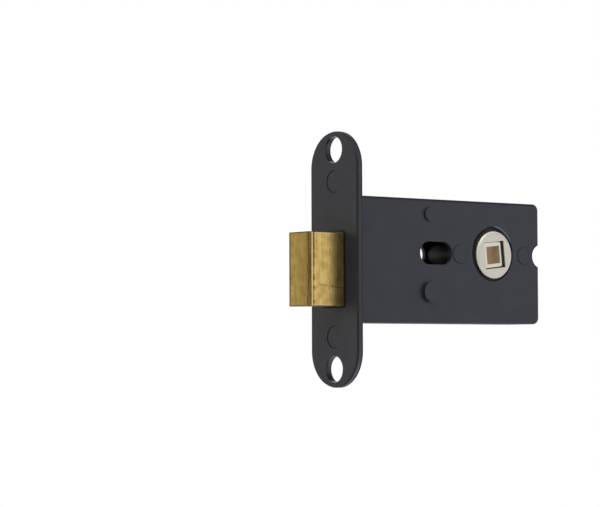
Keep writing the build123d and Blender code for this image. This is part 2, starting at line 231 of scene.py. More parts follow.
# satin black paint stoved on steel: black-grey, dull sheen, a faint orange peel and a few specks of dust
satinPaint = {
    "dark": "2f3034",
    "light": "37383d",
    "dust": "8c8d90",
    "joint": "1d1d20",  # dark paint in the joints, and painted shade at the forend's edge corners, along the top fold and above the bolt
    "rim": "7c828d",  # painted highlight on edges and rims
    "cloud": 7.0,  # patches where the coat is thicker, in mm as all sizes here
    "peel": 0.9,  # width of the orange peel
    "peelDepth": 0.02,
    "peelBump": 0.25,
    "grain": 0.25,  # matting grain, drawn coarser than it is so that it shows
    "grainDepth": 0.006,
    "grainBump": 0.2,
    "grainSpan": (0.25, 0.75),
    "dustSpacing": 9.0,
    "dustSize": 0.2,
    "dustShown": 0.8,
    "smooth": 0.42,
    "rough": 0.56,
    "wet": 0.12,  # roughness where the paint runs thick in the screw holes
    "specular": 0.25,
    "screwHoles": (31.75, 3.89),  # height above and below the middle, and radius
    "ringCore": 0.04,
    "rings": {
        "middleStay": {"centre": (43.5, 0.0, 2.4), "radius": 2.85, "fade": 0.2, "shown": 0.85},
        "rearStay": {"centre": (69.5, 0.0, 2.4), "radius": 2.6, "fade": 0.2, "shown": 0.85},
        "rearNotch": {"centre": (76.6, 0.0, 2.4), "radius": 3.92, "fade": 0.2, "shown": 0.85},
        "upperRivet": {"centre": (0.0, 0.0, 22.5), "radius": 3.2, "fade": 0.26, "shown": 0.6},
        "lowerRivet": {"centre": (0.0, 0.0, -22.5), "radius": 3.2, "fade": 0.26, "shown": 0.6},
    },
    "followerHole": {
        "centre": (56.65, 0.0, 2.7),
        "rim": (8.35, 8.53, 0.9),  # radius where it is pale, where that ends, and how pale
        "facing": (0.54, 0.0, 0.84),
        "towards": (39.789, 40.779),  # distance that way where the painted highlight on the rim starts, and is full
    },
    "forendEdge": {
        "thickness": 2.01,
        "sideways": 0.6,  # an edge faces forwards less than this
        "middle": 1.1,  # depth of its middle
        "cornerShade": (0.45, 0.65, 0.75),  # painted shade: distances from there between which it darkens, and how dark
        "highlightFacingDown": (0.15, -0.6, 0.38),  # painted highlight: upward facing where it starts and is full, and how pale
        "endsFrom": 24.0,  # pale only beyond this height
    },
    "overBoltShadow": {  # painted shadow above the bolt, deeper towards the near side
        "bottom": 7.7,
        "fade": (8.15, 8.5),
        "far": 5.0,
        "near": 2.0,
        "shown": 0.9,
        "nearEnd": -5.4,
    },
    "upright": 0.85,  # what faces up or down less than this counts as a side
    "foldShading": {"joint": (17.4, 17.8, 0.6), "rim": (-17.8, -18.2, 0.14)},  # painted shade along the top fold, painted highlight along the bottom: from, to, strength
}


def satinBlackPaint():
    look = satinPaint
    material, tree, shader, place = newMaterial("satinBlackPaint")
    depth, across, height = addNode(tree, "ShaderNodeSeparateXYZ", {0: place}).outputs
    facing = addNode(tree, "ShaderNodeSeparateXYZ", {0: place.node.outputs["Normal"]}).outputs
    folded = addNode(tree, "ShaderNodeVectorMath", {0: place}, operation="ABSOLUTE").outputs[0]
    layers = []  # mask and colour of each layer over the plain paint

    cloud = addNode(
        tree, "ShaderNodeTexNoise", {"Vector": place, "Scale": 1 / (look["cloud"] * mm), "Detail": 3.0}
    )
    tone = addNode(
        tree,
        "ShaderNodeMix",
        {0: cloud.outputs["Fac"], 6: linear(look["dark"]), 7: linear(look["light"])},
        data_type="RGBA",
    ).outputs[2]
    cells = addNode(tree, "ShaderNodeTexVoronoi", {"Vector": place, "Scale": 1 / (look["dustSpacing"] * mm)})
    speckSize = look["dustSize"] / look["dustSpacing"]
    speck = addNode(
        tree,
        "ShaderNodeMapRange",
        {0: cells.outputs["Distance"], 2: speckSize, 3: look["dustShown"], 4: 0.0},
    )
    layers.append((speck.outputs[0], "dust"))

    # paint drawn down into the joints round the stays and rivets, and thin round the rear notch
    edge = look["forendEdge"]
    onPlate = addNode(
        tree, "ShaderNodeMath", {0: depth, 1: edge["thickness"] * mm}, operation="LESS_THAN"
    ).outputs[0]
    for ring in look["rings"].values():
        inFront = ring["centre"][0] == 0.0
        reach = fromAxis(tree, place, ring["centre"], frontOn if inFront else sideOn)
        gap = addNode(tree, "ShaderNodeMath", {0: reach, 1: ring["radius"] * mm}, operation="SUBTRACT")
        gap = addNode(tree, "ShaderNodeMath", {0: gap.outputs[0]}, operation="ABSOLUTE")
        line = addNode(
            tree,
            "ShaderNodeMapRange",
            {0: gap.outputs[0], 1: look["ringCore"] * mm, 2: ring["fade"] * mm, 3: ring["shown"], 4: 0.0},
        ).outputs[0]
        if inFront:
            line = addNode(tree, "ShaderNodeMath", {0: line, 1: onPlate}, operation="MULTIPLY").outputs[0]
        layers.append((line, "joint"))

    # painted highlight on the rim of the follower's hole, above and to the rear
    hole = look["followerHole"]
    reach = fromAxis(tree, place, hole["centre"], sideOn)
    full, end, shown = hole["rim"]
    rim = addNode(tree, "ShaderNodeMapRange", {0: reach, 1: full * mm, 2: end * mm, 3: shown, 4: 0.0})
    towards = addNode(
        tree, "ShaderNodeVectorMath", {0: place, 1: hole["facing"]}, operation="DOT_PRODUCT"
    ).outputs["Value"]
    start, full = hole["towards"]
    towards = addNode(tree, "ShaderNodeMapRange", {0: towards, 1: start * mm, 2: full * mm})
    rim = addNode(
        tree, "ShaderNodeMath", {0: rim.outputs[0], 1: towards.outputs[0]}, operation="MULTIPLY"
    )
    layers.append((rim.outputs[0], "rim"))

    # painted shade: edges of the forend and of its holes darkened at the corners
    sideways = addNode(tree, "ShaderNodeMath", {0: facing["X"]}, operation="ABSOLUTE")
    sideways = addNode(
        tree, "ShaderNodeMath", {0: sideways.outputs[0], 1: edge["sideways"]}, operation="LESS_THAN"
    )
    onEdge = addNode(
        tree, "ShaderNodeMath", {0: sideways.outputs[0], 1: onPlate}, operation="MULTIPLY"
    ).outputs[0]
    fromMiddle = addNode(tree, "ShaderNodeMath", {0: depth, 1: edge["middle"] * mm}, operation="SUBTRACT")
    fromMiddle = addNode(tree, "ShaderNodeMath", {0: fromMiddle.outputs[0]}, operation="ABSOLUTE")
    start, full, shown = edge["cornerShade"]
    cornerShade = addNode(
        tree, "ShaderNodeMapRange", {0: fromMiddle.outputs[0], 1: start * mm, 2: full * mm}
    ).outputs[0]
    dark = addNode(tree, "ShaderNodeMath", {0: cornerShade, 1: shown}, operation="MULTIPLY")
    dark = addNode(tree, "ShaderNodeMath", {0: dark.outputs[0], 1: onEdge}, operation="MULTIPLY")
    layers.append((dark.outputs[0], "joint"))

    # painted shadow on the forend above the bolt
    shadowBand = look["overBoltShadow"]
    start, end = shadowBand["fade"]
    overBoltShadow = addNode(tree, "ShaderNodeMapRange", {0: height, 1: start * mm, 2: end * mm, 3: 1.0, 4: 0.0})
    overBolt = addNode(tree, "ShaderNodeMath", {0: height, 1: shadowBand["bottom"] * mm}, operation="GREATER_THAN")
    thicker = addNode(
        tree,
        "ShaderNodeMapRange",
        {0: across, 1: shadowBand["far"] * mm, 2: shadowBand["near"] * mm, 4: shadowBand["shown"]},
    )
    within = addNode(tree, "ShaderNodeMath", {0: across, 1: shadowBand["nearEnd"] * mm}, operation="GREATER_THAN")
    overBoltShadow = overBoltShadow.outputs[0]
    for limit in (overBolt.outputs[0], thicker.outputs[0], within.outputs[0], onPlate):
        overBoltShadow = addNode(tree, "ShaderNodeMath", {0: overBoltShadow, 1: limit}, operation="MULTIPLY").outputs[0]
    layers.append((overBoltShadow, "joint"))

    # the folds of the case: painted shade along the top, painted highlight along the bottom
    upright = addNode(tree, "ShaderNodeMath", {0: facing["Z"]}, operation="ABSOLUTE")
    upright = addNode(
        tree, "ShaderNodeMath", {0: upright.outputs[0], 1: look["upright"]}, operation="LESS_THAN"
    )
    onCase = addNode(tree, "ShaderNodeMath", {0: upright.outputs[0], 1: onPlate}, operation="SUBTRACT")
    for colour, (start, full, shown) in look["foldShading"].items():
        band = addNode(tree, "ShaderNodeMapRange", {0: height, 1: start * mm, 2: full * mm, 4: shown})
        band = addNode(
            tree, "ShaderNodeMath", {0: band.outputs[0], 1: onCase.outputs[0]}, operation="MULTIPLY"
        )
        layers.append((band.outputs[0], colour))

    # painted highlight on the edges at the ends of the forend, between the corners where they face down
    start, full, shown = edge["highlightFacingDown"]
    pale = addNode(
        tree,
        "ShaderNodeMapRange",
        {0: facing["Z"], 1: start, 2: full, 4: shown},
        interpolation_type="SMOOTHSTEP",
    ).outputs[0]
    nearEnds = addNode(tree, "ShaderNodeSeparateXYZ", {0: folded}).outputs["Z"]
    nearEnds = addNode(
        tree, "ShaderNodeMath", {0: nearEnds, 1: edge["endsFrom"] * mm}, operation="GREATER_THAN"
    ).outputs[0]
    for limit in (onEdge, nearEnds):
        pale = addNode(tree, "ShaderNodeMath", {0: pale, 1: limit}, operation="MULTIPLY").outputs[0]
    pale = addNode(tree, "ShaderNodeMath", {0: pale, 1: cornerShade}, operation="SUBTRACT").outputs[0]
    layers.append((pale, "rim"))

    for mask, colour in layers:
        tone = addNode(
            tree, "ShaderNodeMix", {0: mask, 6: tone, 7: linear(look[colour])}, data_type="RGBA"
        ).outputs[2]

    # sheen: matt in the grain, glossy in the screw holes
    grain = addNode(
        tree, "ShaderNodeTexNoise", {"Vector": place, "Scale": 1 / (look["grain"] * mm), "Detail": 2.0}
    ).outputs["Fac"]
    start, full = look["grainSpan"]
    sheen = addNode(
        tree, "ShaderNodeMapRange", {0: grain, 1: start, 2: full, 3: look["smooth"], 4: look["rough"]}
    )
    holeHeight, holeRadius = look["screwHoles"]
    reach = fromAxis(tree, folded, (0.0, 0.0, holeHeight), frontOn)
    glossy = addNode(tree, "ShaderNodeMath", {0: reach, 1: holeRadius * mm}, operation="LESS_THAN")
    sheen = addNode(tree, "ShaderNodeMix", {0: glossy.outputs[0], 2: sheen.outputs[0], 3: look["wet"]})
    peel = addNode(
        tree, "ShaderNodeTexNoise", {"Vector": place, "Scale": 1 / (look["peel"] * mm), "Detail": 1.0}
    )
    waves = addNode(
        tree,
        "ShaderNodeBump",
        {
            "Strength": look["peelBump"],
            "Distance": look["peelDepth"] * mm,
            "Height": peel.outputs["Fac"],
        },
    )
    tooth = addNode(
        tree,
        "ShaderNodeBump",
        {
            "Strength": look["grainBump"],
            "Distance": look["grainDepth"] * mm,
            "Height": grain,
            "Normal": waves.outputs[0],
        },
    )
    tree.links.new(tone, shader.inputs["Base Color"])
    tree.links.new(sheen.outputs[0], shader.inputs["Roughness"])
    tree.links.new(tooth.outputs[0], shader.inputs["Normal"])
    shader.inputs["Specular IOR Level"].default_value = look["specular"]
    return material


# drawn brass bar with a sawn end: yellow metal with fine lines along its height, dark pits, dirt in the step
# behind the nose, painted shade on the end, a painted reflection of the dark forend, painted shadow where it
# goes into the forend and one long scratch
drawnBrass = {
    "bright": "d9bc75",
    "dull": "b6995a",
    "rubbed": "e8d092",  # polished by the forend
    "endShadeFar": "c8a95c",  # the sawn end is darker as painted shade, and paler towards the far side
    "endShadeNear": "ac8d49",
    "edge": "745530",
    "pit": "5a4526",
    # painted reflection of the dark forend, darkening the side towards it
    "forendReflection": "8a7446",
    "gapShadow": "2c2823",  # painted shadow where it goes into the forend
    "scratch": "6f5950",
    "line": 0.3,  # spacing of the drawing lines in mm
    "lineLength": 7.0,
    "lineDepth": 0.01,
    "lineBump": 0.35,
    "tarnish": 2.2,  # size of the patches
    "worn": (0.15, 0.36),  # product of lines and tarnish where it is dull, and where it is bright
    "smooth": 0.28,
    "rough": 0.37,
    "metal": (9.5, 12.6, 0.78),  # less metallic towards the forend, with the painted reflection: from, to, and what is left
    "longEdges": (0.55, 0.35, 0.7),  # polish, from the top and bottom: from, to, and strength
    "land": {"middle": 1.2, "full": 0.2, "gone": 0.3, "shown": 0.38},  # polish on the land behind the nose
    "bands": {  # distances from the nose between which a colour comes in, and its strength
        "forendReflection": {"from": 6.2, "to": 8.4, "shown": 0.36, "ease": "SMOOTHSTEP"},
        "gapShadow": {"from": 12.4, "to": 12.75, "shown": 0.8, "ease": "LINEAR"},
    },
    "sawn": (0.02, 0.25),  # how far back the sawn end reaches
    "streaks": (0.78, 1.18),  # how the lines darken and lighten it
    "brown": {
        "depth": (0.5, 0.6),  # how far back from the nose
        "farEdge": (1.45, 1.15, 0.75),  # from the far side: from, to, and strength
        "broken": (0.36, 0.24, 0.9),  # from the top and bottom
        "seam": (0.95, 0.1, 0.3),  # spots along the near chamfer: from the near side, half width, fade
        "spots": (0.42, 0.56, 0.9),
    },
    "step": {"middle": 1.67, "full": 0.15, "gone": 0.3, "sway": 0.1, "clots": (0.46, 0.58, 0.45)},
    "pitSpacing": 1.5,
    "pitSize": 0.3,
    "pitStretch": 2.2,
    "pitShare": 0.55,
    "pitShown": 0.9,
    "scratchFrom": (3.5, -7.53),  # distance from the nose and height
    "scratchTo": (12.7, -8.45),
    "scratchWidth": (0.048, 0.24),
    "scratchShown": 0.62,
    "scratchDepth": 0.2,  # only on the near side
}


def brushedBrass():
    look = drawnBrass
    material, tree, shader, place = newMaterial("drawnBrass")
    low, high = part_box("bolt_head")
    nose = low.x
    half = (high.z - low.z) / 2
    x, y, z = addNode(tree, "ShaderNodeSeparateXYZ", {0: place}).outputs
    layers = []  # mask and colour of each layer over the plain brass

    spacing, length = look["line"] * mm, look["lineLength"] * mm
    along = addNode(tree, "ShaderNodeMapping", {0: place, 3: (1 / spacing, 1 / spacing, 1 / length)})
    lines = addNode(
        tree, "ShaderNodeTexNoise", {"Vector": along.outputs[0], "Scale": 1.0, "Detail": 3.0}
    ).outputs["Fac"]
    tarnish = addNode(
        tree, "ShaderNodeTexNoise", {"Vector": place, "Scale": 1 / (look["tarnish"] * mm), "Detail": 4.0}
    ).outputs["Fac"]
    blend = addNode(tree, "ShaderNodeMath", {0: lines, 1: tarnish}, operation="MULTIPLY")
    start, full = look["worn"]
    worn = addNode(tree, "ShaderNodeMapRange", {0: blend.outputs[0], 1: start, 2: full}).outputs[0]
    tone = addNode(
        tree,
        "ShaderNodeMix",
        {0: worn, 6: linear(look["dull"]), 7: linear(look["bright"])},
        data_type="RGBA",
    ).outputs[2]

    # polish on the long edges and on the land
    fromMiddle = addNode(tree, "ShaderNodeMath", {0: z, 1: (low.z + high.z) / 2}, operation="SUBTRACT")
    fromMiddle = addNode(tree, "ShaderNodeMath", {0: fromMiddle.outputs[0]}, operation="ABSOLUTE").outputs[0]
    start, full, shown = look["longEdges"]
    rubbed = addNode(
        tree, "ShaderNodeMapRange", {0: fromMiddle, 1: half - start * mm, 2: half - full * mm, 4: shown}
    ).outputs[0]
    layers.append((rubbed, linear(look["rubbed"])))
    strip = look["land"]
    land = addNode(tree, "ShaderNodeMath", {0: x, 1: nose + strip["middle"] * mm}, operation="SUBTRACT")
    land = addNode(tree, "ShaderNodeMath", {0: land.outputs[0]}, operation="ABSOLUTE")
    land = addNode(
        tree,
        "ShaderNodeMapRange",
        {0: land.outputs[0], 1: strip["full"] * mm, 2: strip["gone"] * mm, 3: strip["shown"], 4: 0.0},
    )
    layers.append((land.outputs[0], linear(look["rubbed"])))

    # painted reflection of the dark forend, and painted shadow where the bolt goes into it
    for colour, band in look["bands"].items():
        paintedDark = addNode(
            tree,
            "ShaderNodeMapRange",
            {0: x, 1: nose + band["from"] * mm, 2: nose + band["to"] * mm, 4: band["shown"]},
            interpolation_type=band["ease"],
        )
        layers.append((paintedDark.outputs[0], linear(look[colour])))

    # the sawn end, darker than the sides as painted shade and paler towards the far side, streaked by the
    # same lines
    farther = addNode(tree, "ShaderNodeMapRange", {0: y, 1: low.y, 2: high.y})
    endShadeTone = addNode(
        tree,
        "ShaderNodeMix",
        {0: farther.outputs[0], 6: linear(look["endShadeNear"]), 7: linear(look["endShadeFar"])},
        data_type="RGBA",
    )
    darker, lighter = look["streaks"]
    streak = addNode(tree, "ShaderNodeMapRange", {0: worn, 3: darker, 4: lighter})
    endShadeTone = addNode(
        tree,
        "ShaderNodeMix",
        {0: 1.0, 6: endShadeTone.outputs[2], 7: streak.outputs[0]},
        data_type="RGBA",
        blend_type="MULTIPLY",
    )
    start, end = look["sawn"]
    sawn = addNode(
        tree, "ShaderNodeMapRange", {0: x, 1: nose + start * mm, 2: nose + end * mm, 3: 1.0, 4: 0.0}
    )
    layers.append((sawn.outputs[0], endShadeTone.outputs[2]))

    # brown edges round the end: far chamfer, broken top and bottom edges, spots along the near chamfer
    brown = look["brown"]
    start, end = brown["depth"]
    front = addNode(
        tree, "ShaderNodeMapRange", {0: x, 1: nose + start * mm, 2: nose + end * mm, 3: 1.0, 4: 0.0}
    ).outputs[0]
    start, full, shown = brown["farEdge"]
    farEdge = addNode(
        tree, "ShaderNodeMapRange", {0: y, 1: high.y - start * mm, 2: high.y - full * mm, 4: shown}
    ).outputs[0]
    start, full, shown = brown["broken"]
    broken = addNode(
        tree, "ShaderNodeMapRange", {0: fromMiddle, 1: half - start * mm, 2: half - full * mm, 4: shown}
    ).outputs[0]
    middle, full, gone = brown["seam"]
    seam = addNode(tree, "ShaderNodeMath", {0: y, 1: low.y + middle * mm}, operation="SUBTRACT")
    seam = addNode(tree, "ShaderNodeMath", {0: seam.outputs[0]}, operation="ABSOLUTE")
    seam = addNode(
        tree, "ShaderNodeMapRange", {0: seam.outputs[0], 1: full * mm, 2: gone * mm, 3: 1.0, 4: 0.0}
    )
    start, full, shown = brown["spots"]
    spots = addNode(tree, "ShaderNodeMapRange", {0: tarnish, 1: start, 2: full, 4: shown})
    spots = addNode(
        tree, "ShaderNodeMath", {0: seam.outputs[0], 1: spots.outputs[0]}, operation="MULTIPLY"
    ).outputs[0]
    edges = farEdge
    for other in (broken, spots):
        edges = addNode(tree, "ShaderNodeMath", {0: edges, 1: other}, operation="MAXIMUM").outputs[0]
    edges = addNode(tree, "ShaderNodeMath", {0: edges, 1: front}, operation="MULTIPLY").outputs[0]
    layers.append((edges, linear(look["edge"])))

    # dirt in the step, uneven along it
    groove = look["step"]
    sway = groove["sway"] * mm
    step = addNode(tree, "ShaderNodeMath", {0: x, 1: nose + groove["middle"] * mm}, operation="SUBTRACT")
    sway = addNode(tree, "ShaderNodeMapRange", {0: tarnish, 1: noiseLow, 2: noiseHigh, 3: -sway, 4: sway})
    step = addNode(tree, "ShaderNodeMath", {0: step.outputs[0], 1: sway.outputs[0]}, operation="ADD")
    step = addNode(tree, "ShaderNodeMath", {0: step.outputs[0]}, operation="ABSOLUTE")
    dirt = addNode(
        tree,
        "ShaderNodeMapRange",
        {0: step.outputs[0], 1: groove["full"] * mm, 2: groove["gone"] * mm, 3: 1.0, 4: 0.0},
    )
    start, end, least = groove["clots"]
    clots = addNode(tree, "ShaderNodeMapRange", {0: tarnish, 1: start, 2: end, 3: 1.0, 4: least})
    dirt = addNode(
        tree, "ShaderNodeMath", {0: dirt.outputs[0], 1: clots.outputs[0]}, operation="MULTIPLY"
    )

    # pits, drawn out along the lines
    spacing, length = look["pitSpacing"] * mm, look["pitSpacing"] * look["pitStretch"] * mm
    pitted = addNode(tree, "ShaderNodeMapping", {0: place, 3: (1 / spacing, 1 / spacing, 1 / length)})
    cells = addNode(tree, "ShaderNodeTexVoronoi", {"Vector": pitted.outputs[0], "Scale": 1.0})
    pitReach = look["pitSize"] / look["pitSpacing"]
    pit = addNode(
        tree,
        "ShaderNodeMapRange",
        {0: cells.outputs["Distance"], 2: pitReach, 3: look["pitShown"], 4: 0.0},
    )
    chosen = addNode(tree, "ShaderNodeSeparateXYZ", {0: cells.outputs["Color"]}).outputs["X"]
    chosen = addNode(tree, "ShaderNodeMath", {0: chosen, 1: look["pitShare"]}, operation="LESS_THAN")
    pit = addNode(tree, "ShaderNodeMath", {0: pit.outputs[0], 1: chosen.outputs[0]}, operation="MULTIPLY")
    pit = addNode(tree, "ShaderNodeMath", {0: pit.outputs[0], 1: rubbed}, operation="SUBTRACT")
    dark = addNode(tree, "ShaderNodeMath", {0: pit.outputs[0], 1: dirt.outputs[0]}, operation="MAXIMUM")
    layers.append((dark.outputs[0], linear(look["pit"])))

    # the scratch: a line on the near side, measured along itself from 0 to 1 and across itself in mm
    startX, startZ = look["scratchFrom"]
    run = Vector(look["scratchTo"]) - Vector(look["scratchFrom"])
    scratchLine = addNode(
        tree,
        "ShaderNodeMapping",
        {
            0: place,
            1: (nose + startX * mm, low.y, startZ * mm),
            2: (0.0, -atan2(run.y, run.x), 0.0),
            3: (run.length * mm, mm, mm),
        },
        vector_type="TEXTURE",
    )
    measured = addNode(tree, "ShaderNodeSeparateXYZ", {0: scratchLine.outputs[0]}).outputs
    beside = addNode(tree, "ShaderNodeMath", {0: measured["Z"]}, operation="ABSOLUTE")
    full, gone = look["scratchWidth"]
    scratched = addNode(
        tree,
        "ShaderNodeMapRange",
        {0: beside.outputs[0], 1: full, 2: gone, 3: look["scratchShown"], 4: 0.0},
    ).outputs[0]
    within = addNode(tree, "ShaderNodeMath", {0: measured["X"], 1: 0.5, 2: 0.5}, operation="COMPARE")
    nearSide = addNode(
        tree, "ShaderNodeMath", {0: measured["Y"], 1: look["scratchDepth"]}, operation="LESS_THAN"
    )
    for limit in (within.outputs[0], nearSide.outputs[0]):
        scratched = addNode(tree, "ShaderNodeMath", {0: scratched, 1: limit}, operation="MULTIPLY").outputs[0]
    layers.append((scratched, linear(look["scratch"])))

    for mask, colour in layers:
        tone = addNode(tree, "ShaderNodeMix", {0: mask, 6: tone, 7: colour}, data_type="RGBA").outputs[2]

    polish = addNode(
        tree, "ShaderNodeMapRange", {0: lines, 1: noiseLow, 2: noiseHigh, 3: look["smooth"], 4: look["rough"]}
    )
    scored = addNode(
        tree,
        "ShaderNodeBump",
        {"Strength": look["lineBump"], "Distance": look["lineDepth"] * mm, "Height": lines},
    )
    start, end, left = look["metal"]
    bare = addNode(
        tree, "ShaderNodeMapRange", {0: x, 1: nose + start * mm, 2: nose + end * mm, 3: 1.0, 4: left}
    )
    tree.links.new(tone, shader.inputs["Base Color"])
    tree.links.new(polish.outputs[0], shader.inputs["Roughness"])
    tree.links.new(scored.outputs[0], shader.inputs["Normal"])
    tree.links.new(bare.outputs[0], shader.inputs["Metallic"])
    return material


# dull nickel plate on a die casting: pale warm grey, softly grained, a few dark specks, painted shade on the
# socket walls and a painted highlight on the rim
nickelPlate = {
    "pale": "d2cec3",
    "dim": "c3beb3",
    "speck": "6e675c",
    # painted shade on the walls of the socket
    "socket": "6d6a6c",
    # painted highlight on the rim
    "rim": "fdf3dd",
    "cast": 0.6,  # grain of the casting, in mm as all sizes here
    "castDepth": 0.012,
    "castBump": 0.3,
    "speckSpacing": 3.4,
    "speckSize": 0.2,
    "speckShown": 0.7,
    "smooth": 0.3,
    "rough": 0.42,
    "axis": (57.0, 0.0, 2.4),  # a point on the follower's axis
    "turned": 6.0,  # how far the square socket is turned at rest, in degrees
    "socketReach": (4.02, 4.1),  # distance from the axis to the walls of the socket
    "socketBand": (0.2, 0.4, 0.72, 0.84),  # depths between which those walls carry the painted shade
    "rimReach": (6.66, 6.78),  # radius from which the rim carries the painted highlight
    "rimDepth": 0.6,
    "rimMetal": 0.1,
}


def dullNickel():
    look = nickelPlate
    material, tree, shader, place = newMaterial("dullNickel")
    layers = []  # mask and colour of each layer over the plain plate
    cast = addNode(
        tree, "ShaderNodeTexNoise", {"Vector": place, "Scale": 1 / (look["cast"] * mm), "Detail": 4.0}
    ).outputs["Fac"]
    tone = addNode(
        tree,
        "ShaderNodeMix",
        {0: cast, 6: linear(look["dim"]), 7: linear(look["pale"])},
        data_type="RGBA",
    ).outputs[2]
    cells = addNode(tree, "ShaderNodeTexVoronoi", {"Vector": place, "Scale": 1 / (look["speckSpacing"] * mm)})
    speckSize = look["speckSize"] / look["speckSpacing"]
    speck = addNode(
        tree,
        "ShaderNodeMapRange",
        {0: cells.outputs["Distance"], 2: speckSize, 3: look["speckShown"], 4: 0.0},
    )
    layers.append((speck.outputs[0], "speck"))

    # painted shade on the walls of the square socket, below the face
    squareOn = addNode(
        tree,
        "ShaderNodeMapping",
        {
            0: place,
            1: [value * mm for value in look["axis"]],
            2: (0.0, -radians(look["turned"]), 0.0),
            3: (mm, mm, mm),
        },
        vector_type="TEXTURE",
    ).outputs[0]
    reach = addNode(tree, "ShaderNodeVectorMath", {0: squareOn}, operation="ABSOLUTE")
    reach = addNode(tree, "ShaderNodeSeparateXYZ", {0: reach.outputs[0]}).outputs
    reach = addNode(tree, "ShaderNodeMath", {0: reach["X"], 1: reach["Z"]}, operation="MAXIMUM")
    full, end = look["socketReach"]
    socket = addNode(
        tree, "ShaderNodeMapRange", {0: reach.outputs[0], 1: full, 2: end, 3: 1.0, 4: 0.0}
    ).outputs[0]
    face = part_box("follower_hub")[1].y
    outward = addNode(tree, "ShaderNodeSeparateXYZ", {0: place}).outputs["Y"]
    outward = addNode(tree, "ShaderNodeMath", {0: outward}, operation="ABSOLUTE").outputs[0]
    start, full, fading, end = [face - depth * mm for depth in look["socketBand"]]
    below = addNode(tree, "ShaderNodeMapRange", {0: outward, 1: full, 2: start, 3: 1.0, 4: 0.0})
    above = addNode(tree, "ShaderNodeMapRange", {0: outward, 1: end, 2: fading})
    for limit in (below.outputs[0], above.outputs[0]):
        socket = addNode(tree, "ShaderNodeMath", {0: socket, 1: limit}, operation="MULTIPLY").outputs[0]
    layers.append((socket, "socket"))

    # painted highlight: the rim made pale and less metallic
    radial = addNode(tree, "ShaderNodeVectorMath", {0: squareOn, 1: sideOn}, operation="MULTIPLY")
    radial = addNode(tree, "ShaderNodeVectorMath", {0: radial.outputs[0]}, operation="LENGTH")
    start, full = look["rimReach"]
    rim = addNode(tree, "ShaderNodeMapRange", {0: radial.outputs["Value"], 1: start, 2: full})
    standing = addNode(
        tree, "ShaderNodeMath", {0: outward, 1: face - look["rimDepth"] * mm}, operation="GREATER_THAN"
    )
    rim = addNode(
        tree, "ShaderNodeMath", {0: rim.outputs[0], 1: standing.outputs[0]}, operation="MULTIPLY"
    ).outputs[0]
    layers.append((rim, "rim"))

    for mask, colour in layers:
        tone = addNode(
            tree, "ShaderNodeMix", {0: mask, 6: tone, 7: linear(look[colour])}, data_type="RGBA"
        ).outputs[2]
    metal = addNode(tree, "ShaderNodeMapRange", {0: rim, 3: 1.0, 4: look["rimMetal"]})
    polish = addNode(
        tree, "ShaderNodeMapRange", {0: cast, 1: noiseLow, 2: noiseHigh, 3: look["smooth"], 4: look["rough"]}
    )
    skin = addNode(
        tree,
        "ShaderNodeBump",
        {"Strength": look["castBump"], "Distance": look["castDepth"] * mm, "Height": cast},
    )
    tree.links.new(tone, shader.inputs["Base Color"])
    tree.links.new(polish.outputs[0], shader.inputs["Roughness"])
    tree.links.new(skin.outputs[0], shader.inputs["Normal"])
    tree.links.new(metal.outputs[0], shader.inputs["Metallic"])
    return material


# plated sleeve: nickel on its ends, dull brown on its walls
platedSleeve = {
    "end": "d0ccc1",
    "wall": "e6d5ba",
    "wallDark": "dac7a9",
    "streak": 0.5,
    "streakDepth": 0.01,
    "streakBump": 0.3,
    "rough": 0.2,
    "wallMetal": 0.5,
    "endDepth": 0.03,
    "outside": 3.55,  # radius beyond which it is plated all over
}


def brownedSleeve():
    look = platedSleeve
    material, tree, shader, place = newMaterial("brownedSleeve")
    streak = addNode(
        tree, "ShaderNodeTexNoise", {"Vector": place, "Scale": 1 / (look["streak"] * mm), "Detail": 3.0}
    ).outputs["Fac"]
    wall = addNode(
        tree,
        "ShaderNodeMix",
        {0: streak, 6: linear(look["wallDark"]), 7: linear(look["wall"])},
        data_type="RGBA",
    )
    outward = addNode(tree, "ShaderNodeSeparateXYZ", {0: place}).outputs["Y"]
    outward = addNode(tree, "ShaderNodeMath", {0: outward}, operation="ABSOLUTE")
    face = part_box("spindle_bush")[1].y - look["endDepth"] * mm
    end = addNode(tree, "ShaderNodeMath", {0: outward.outputs[0], 1: face}, operation="GREATER_THAN")
    reach = fromAxis(tree, place, nickelPlate["axis"], sideOn)
    outside = addNode(tree, "ShaderNodeMath", {0: reach, 1: look["outside"] * mm}, operation="GREATER_THAN")
    plated = addNode(
        tree, "ShaderNodeMath", {0: end.outputs[0], 1: outside.outputs[0]}, operation="MAXIMUM"
    ).outputs[0]
    tone = addNode(
        tree,
        "ShaderNodeMix",
        {0: plated, 6: wall.outputs[2], 7: linear(look["end"])},
        data_type="RGBA",
    )
    metal = addNode(tree, "ShaderNodeMapRange", {0: plated, 3: look["wallMetal"], 4: 1.0})
    skin = addNode(
        tree,
        "ShaderNodeBump",
        {"Strength": look["streakBump"], "Distance": look["streakDepth"] * mm, "Height": streak},
    )
    tree.links.new(tone.outputs[2], shader.inputs["Base Color"])
    tree.links.new(skin.outputs[0], shader.inputs["Normal"])
    tree.links.new(metal.outputs[0], shader.inputs["Metallic"])
    shader.inputs["Roughness"].default_value = look["rough"]
    return material


# bright rolled steel: grey, with rolling lines along the bar
rolledSteel = {
    "pale": "b9babc",
    "dim": "8e9093",
    "line": 0.35,
    "lineLength": 9.0,
    "smooth": 0.25,
    "rough": 0.4,
}


